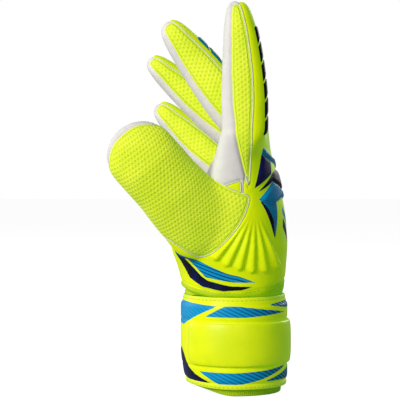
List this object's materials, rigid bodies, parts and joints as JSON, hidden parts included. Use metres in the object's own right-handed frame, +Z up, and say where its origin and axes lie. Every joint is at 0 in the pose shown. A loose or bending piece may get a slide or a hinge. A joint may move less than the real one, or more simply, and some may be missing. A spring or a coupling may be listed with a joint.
{
  "type": "goalkeeper glove",
  "caption": "Padded right-hand goalkeeper glove with latex palm, dimpled mesh thumb and side gussets, folding fingers and a wrap-round wrist strap.",
  "frame": {"origin": "centre of the cuff's lower rim, on the floor", "axes": "+Z up the hand towards the fingers, +X towards the back of the hand, -Y towards the thumb"},
  "size_m": [0.128, 0.1259, 0.2768],
  "materials": {
    "binding": "stitched edge band",
    "dotted_mesh": "dimpled stretch fabric, matt",
    "foam": "foam",
    "hook_loop": "hook and loop pile",
    "lime_shell": "smooth coated neoprene, satin",
    "lining": "knitted textile lining",
    "strap_pad": "smooth moulded pad, satin",
    "strap_print": "printed elastic, satin",
    "white_latex": "soft latex foam, matt"
  },
  "bodies": {
    "cuff_part": {"wrist_cuff": "lime_shell", "vent_insert": "lining", "loop_patch": "hook_loop", "strap_back": "strap_print", "strap_back_pad": "strap_pad", "strap_back_binding": "binding", "wrist_back_panel": "lime_shell", "wrist_palm_panel": "lime_shell"},
    "hand_part": {"palm_latex": "white_latex", "backhand_panel": "lime_shell", "backhand_foam": "foam", "little_side_gusset": "dotted_mesh", "index_side_gusset": "dotted_mesh", "thumb_side_panel": "dotted_mesh", "thumb_root_back": "dotted_mesh", "thumb_root_palm": "white_latex"},
    "thumb_lower": {"thumb_base_back": "dotted_mesh", "thumb_base_palm": "white_latex"},
    "thumb_upper": {"thumb_tip_back": "dotted_mesh", "thumb_tip_palm": "white_latex"},
    "strap_mid": {"strap_side": "strap_print", "strap_side_pad": "strap_pad", "strap_side_binding": "binding"},
    "strap_tail": {"strap_end": "strap_print", "strap_end_binding": "binding", "strap_tab": "hook_loop", "hook_patch": "hook_loop"},
    "index_lower": {"index_base_palm": "white_latex", "index_base_back": "lime_shell", "index_base_gussets": "dotted_mesh"},
    "index_upper": {"index_tip_palm": "white_latex", "index_tip_back": "lime_shell", "index_tip_gussets": "dotted_mesh"},
    "middle_lower": {"middle_base_palm": "white_latex", "middle_base_back": "lime_shell", "middle_base_gussets": "dotted_mesh"},
    "middle_upper": {"middle_tip_palm": "white_latex", "middle_tip_back": "lime_shell", "middle_tip_gussets": "dotted_mesh"},
    "ring_lower": {"ring_base_palm": "white_latex", "ring_base_back": "lime_shell", "ring_base_gussets": "dotted_mesh"},
    "ring_upper": {"ring_tip_palm": "white_latex", "ring_tip_back": "lime_shell", "ring_tip_gussets": "dotted_mesh"},
    "little_lower": {"little_base_palm": "white_latex", "little_base_back": "lime_shell", "little_base_gussets": "dotted_mesh"},
    "little_upper": {"little_tip_palm": "white_latex", "little_tip_back": "lime_shell", "little_tip_gussets": "dotted_mesh"}
  },
  "joints": [
    {"name": "wrist_bend", "type": "hinge", "parent": "cuff_part", "child": "hand_part", "pos_m": [0, 0, 0.093], "axis": [0, -1, 0], "range_deg": [-12, 12], "stiffness_Nm_per_rad": 1.2},
    {"name": "index_knuckle", "type": "hinge", "parent": "hand_part", "child": "index_lower", "pos_m": [0.007, -0.039, 0.186], "axis": [0.0009, -0.9986, -0.0523], "range_deg": [-10, 49], "stiffness_Nm_per_rad": 0.15},
    {"name": "index_bend", "type": "hinge", "parent": "index_lower", "child": "index_upper", "pos_m": [0.00623, -0.0413, 0.22993], "axis": [0.0009, -0.9986, -0.0523], "range_deg": [0, 60], "stiffness_Nm_per_rad": 0.15},
    {"name": "middle_knuckle", "type": "hinge", "parent": "hand_part", "child": "middle_lower", "pos_m": [0.0105, -0.0122, 0.188], "axis": [0.0055, -1, -0.0068], "range_deg": [-33, 34], "stiffness_Nm_per_rad": 0.15},
    {"name": "middle_bend", "type": "hinge", "parent": "middle_lower", "child": "middle_upper", "pos_m": [-0.01845, -0.0126, 0.22375], "axis": [0.0055, -1, -0.0068], "range_deg": [0, 60], "stiffness_Nm_per_rad": 0.15},
    {"name": "ring_knuckle", "type": "hinge", "parent": "hand_part", "child": "ring_lower", "pos_m": [0.002, 0.0146, 0.184], "axis": [-0.0334, -0.999, 0.028], "range_deg": [-36, 34], "stiffness_Nm_per_rad": 0.15},
    {"name": "ring_bend", "type": "hinge", "parent": "ring_lower", "child": "ring_upper", "pos_m": [-0.03014, 0.01643, 0.21097], "axis": [-0.0334, -0.999, 0.028], "range_deg": [0, 60], "stiffness_Nm_per_rad": 0.15},
    {"name": "little_knuckle", "type": "hinge", "parent": "hand_part", "child": "little_lower", "pos_m": [-0.009, 0.0399, 0.162], "axis": [-0.0789, -0.9945, 0.0686], "range_deg": [-34, 33], "stiffness_Nm_per_rad": 0.15},
    {"name": "little_bend", "type": "hinge", "parent": "little_lower", "child": "little_upper", "pos_m": [-0.03452, 0.04345, 0.18418], "axis": [-0.0789, -0.9945, 0.0686], "range_deg": [0, 60], "stiffness_Nm_per_rad": 0.15},
    {"name": "thumb_swing", "type": "hinge", "parent": "hand_part", "child": "thumb_lower", "pos_m": [-0.0366, -0.046, 0.1375], "axis": [0.7547, 0, 0.6561], "range_deg": [-25, 15], "stiffness_Nm_per_rad": 0.25},
    {"name": "thumb_bend", "type": "hinge", "parent": "thumb_lower", "child": "thumb_upper", "pos_m": [-0.05815, -0.0548, 0.16229], "axis": [0.7547, 0, 0.6561], "range_deg": [-40, 5], "stiffness_Nm_per_rad": 0.15},
    {"name": "strap_unwrap", "type": "hinge", "parent": "cuff_part", "child": "strap_mid", "pos_m": [0.02565, -0.0321, 0], "axis": [0, 0, 1], "range_deg": [0, 75]},
    {"name": "strap_peel", "type": "hinge", "parent": "strap_mid", "child": "strap_tail", "pos_m": [-0.03645, -0.01704, 0], "axis": [0, 0, 1], "range_deg": [0, 100]}
  ]
}
